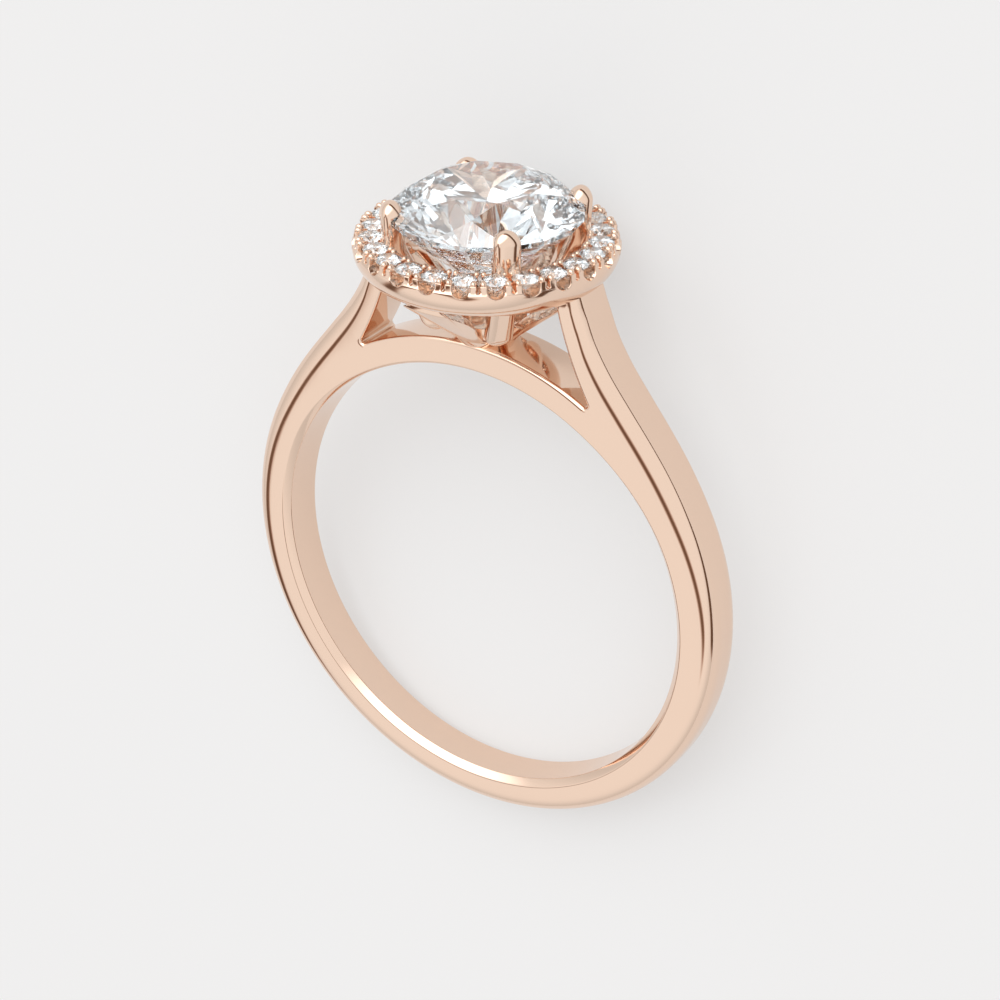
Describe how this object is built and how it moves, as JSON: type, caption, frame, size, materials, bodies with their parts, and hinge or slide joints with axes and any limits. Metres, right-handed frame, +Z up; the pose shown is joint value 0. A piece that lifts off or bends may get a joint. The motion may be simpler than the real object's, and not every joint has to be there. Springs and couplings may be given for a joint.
{
  "type": "halo ring",
  "caption": "Finger ring with a round cut stone in four prongs, ringed by a halo of small round stones, on arched cathedral shoulders.",
  "frame": {"origin": "middle of the bounding box on the floor that the ring lies on", "axes": "+Z up; the ring lies on its side, with the centre stone towards +Y and tipped towards the floor, the shoulders at +X and -X, and the finger's axis near Z"},
  "size_m": [0.0202, 0.0254, 0.0093],
  "materials": {
    "rose_gold": "polished rose gold",
    "centre_gem": "clear cut stone",
    "halo_gem": "clear cut stone"
  },
  "bodies": {
    "root": {"gold_setting": "rose_gold", "centre_stone": "centre_gem", "halo_stone_01": "halo_gem", "halo_stone_02": "halo_gem", "halo_stone_03": "halo_gem", "halo_stone_04": "halo_gem", "halo_stone_05": "halo_gem", "halo_stone_06": "halo_gem", "halo_stone_07": "halo_gem", "halo_stone_08": "halo_gem", "halo_stone_09": "halo_gem", "halo_stone_10": "halo_gem", "halo_stone_11": "halo_gem", "halo_stone_12": "halo_gem", "halo_stone_13": "halo_gem", "halo_stone_14": "halo_gem", "halo_stone_15": "halo_gem", "halo_stone_16": "halo_gem", "halo_stone_17": "halo_gem", "halo_stone_18": "halo_gem", "halo_stone_19": "halo_gem", "halo_stone_20": "halo_gem", "halo_stone_21": "halo_gem", "halo_stone_22": "halo_gem", "halo_stone_23": "halo_gem", "halo_stone_24": "halo_gem"}
  },
  "joints": []
}
